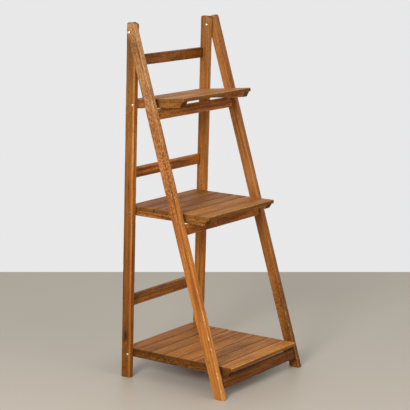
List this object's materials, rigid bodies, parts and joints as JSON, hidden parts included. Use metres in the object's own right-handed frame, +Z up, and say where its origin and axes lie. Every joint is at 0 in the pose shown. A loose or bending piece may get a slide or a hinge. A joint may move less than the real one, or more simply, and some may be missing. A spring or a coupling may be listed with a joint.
{
  "type": "plant ladder stand",
  "caption": "Folding wooden ladder stand for plants, with slatted shelves that grow deeper towards the floor.",
  "frame": {"origin": "on the floor, under the centre of the outline seen from above", "axes": "+Z up, +X to the right seen from the front, +Y towards the back"},
  "size_m": [0.4386, 0.4038, 1.098],
  "materials": {
    "legs": "orange-brown stain, semi-gloss",
    "cross_pieces": "brown stain, semi-gloss",
    "shelf_boards": "mid-brown stain, satin",
    "fasteners": "bright, domed heads"
  },
  "bodies": {
    "rear_frame": {"back_rail_bottom": "cross_pieces", "back_rail_middle": "cross_pieces", "back_rail_top": "cross_pieces", "bottom_shelf_bolt_left": "fasteners", "bottom_shelf_bolt_right": "fasteners", "bottom_shelf_washer_left": "fasteners", "bottom_shelf_washer_right": "fasteners", "frame_bolt_left": "fasteners", "frame_bolt_nut_left": "fasteners", "frame_bolt_nut_right": "fasteners", "frame_bolt_right": "fasteners", "frame_washer_left": "fasteners", "frame_washer_right": "fasteners", "middle_shelf_bolt_left": "fasteners", "middle_shelf_bolt_right": "fasteners", "middle_shelf_washer_left": "fasteners", "middle_shelf_washer_right": "fasteners", "rear_leg_left": "legs", "rear_leg_right": "legs", "top_shelf_bolt_left": "fasteners", "top_shelf_bolt_right": "fasteners", "top_shelf_washer_left": "fasteners", "top_shelf_washer_right": "fasteners"},
    "front_frame": {"front_leg_left": "legs", "front_leg_right": "legs", "front_rung_bottom": "cross_pieces", "front_rung_middle": "cross_pieces", "front_rung_top": "cross_pieces"},
    "top_shelf": {"top_shelf_bearer_left": "shelf_boards", "top_shelf_bearer_right": "shelf_boards", "top_shelf_slat_1": "shelf_boards", "top_shelf_slat_2": "shelf_boards", "top_shelf_slat_3": "shelf_boards", "top_shelf_slat_4": "shelf_boards"},
    "middle_shelf": {"middle_shelf_bearer_left": "shelf_boards", "middle_shelf_bearer_right": "shelf_boards", "middle_shelf_slat_1": "shelf_boards", "middle_shelf_slat_2": "shelf_boards", "middle_shelf_slat_3": "shelf_boards", "middle_shelf_slat_4": "shelf_boards", "middle_shelf_slat_5": "shelf_boards", "middle_shelf_slat_6": "shelf_boards"},
    "bottom_shelf": {"bottom_shelf_bearer_left": "shelf_boards", "bottom_shelf_bearer_right": "shelf_boards", "bottom_shelf_slat_1": "shelf_boards", "bottom_shelf_slat_2": "shelf_boards", "bottom_shelf_slat_3": "shelf_boards", "bottom_shelf_slat_4": "shelf_boards", "bottom_shelf_slat_5": "shelf_boards", "bottom_shelf_slat_6": "shelf_boards", "bottom_shelf_slat_7": "shelf_boards", "bottom_shelf_slat_8": "shelf_boards"}
  },
  "joints": [
    {"name": "front_frame_fold", "type": "hinge", "parent": "rear_frame", "child": "front_frame", "pos_m": [0, 0.14245, 1.067], "axis": [1, 0, 0], "range_deg": [0, 15.5]},
    {"name": "top_shelf_lift", "type": "hinge", "parent": "rear_frame", "child": "top_shelf", "pos_m": [0, 0.14767, 0.84946], "axis": [-1, 0, 0], "range_deg": [0, 81]},
    {"name": "middle_shelf_lift", "type": "hinge", "parent": "rear_frame", "child": "middle_shelf", "pos_m": [0, 0.16203, 0.52195], "axis": [-1, 0, 0], "range_deg": [0, 80]},
    {"name": "bottom_shelf_lift", "type": "hinge", "parent": "rear_frame", "child": "bottom_shelf", "pos_m": [0, 0.17536, 0.07498], "axis": [-1, 0, 0], "range_deg": [0, 84]}
  ]
}
